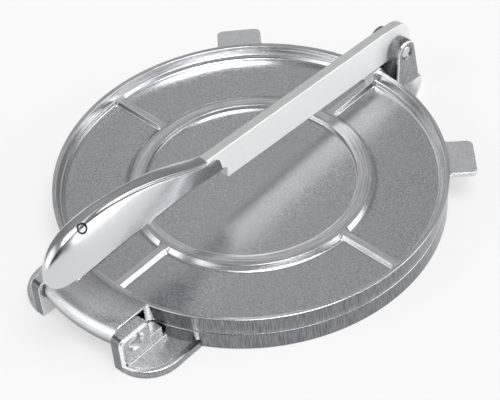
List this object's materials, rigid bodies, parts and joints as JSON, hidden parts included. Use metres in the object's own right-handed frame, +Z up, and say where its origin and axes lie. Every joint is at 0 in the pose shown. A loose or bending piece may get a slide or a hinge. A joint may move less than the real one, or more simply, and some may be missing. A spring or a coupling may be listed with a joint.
{
  "type": "tortilla press",
  "caption": "Round hand press: a lever with a hollow grip pushes a hinged round lid down on a flat base to flatten dough balls or mince.",
  "frame": {"origin": "the middle of the whole part's length and width, on the table under the base", "axes": "+Z up; +Y from the lid's hinge towards the lever's fork; X = 0 is the plane of symmetry"},
  "size_m": [0.204, 0.2634, 0.0738],
  "materials": {
    "cast_base": "as cast, ground on its edge",
    "cast_lid": "as cast, polished on its rim and ribs",
    "polished_lever": "polished",
    "steel_pin": "turned"
  },
  "bodies": {
    "base": {"base_plate": "cast_base", "hinge_pin": "steel_pin", "lever_pin": "steel_pin"},
    "lid": {"lid": "cast_lid"},
    "lever": {"lever": "polished_lever"}
  },
  "joints": [
    {"name": "lever_pivot", "type": "hinge", "parent": "base", "child": "lever", "pos_m": [0, 0.1193, 0.0298], "axis": [-1, 0, 0], "range_deg": [0, 175]},
    {"name": "lid_hinge", "type": "hinge", "parent": "base", "child": "lid", "pos_m": [0, -0.1105, 0.0148], "axis": [1, 0, 0], "range_deg": [0, 105]}
  ],
  "couplings": [
    {"joint": "lid_hinge", "follows": "lever_pivot", "ratio": 0.05}
  ]
}
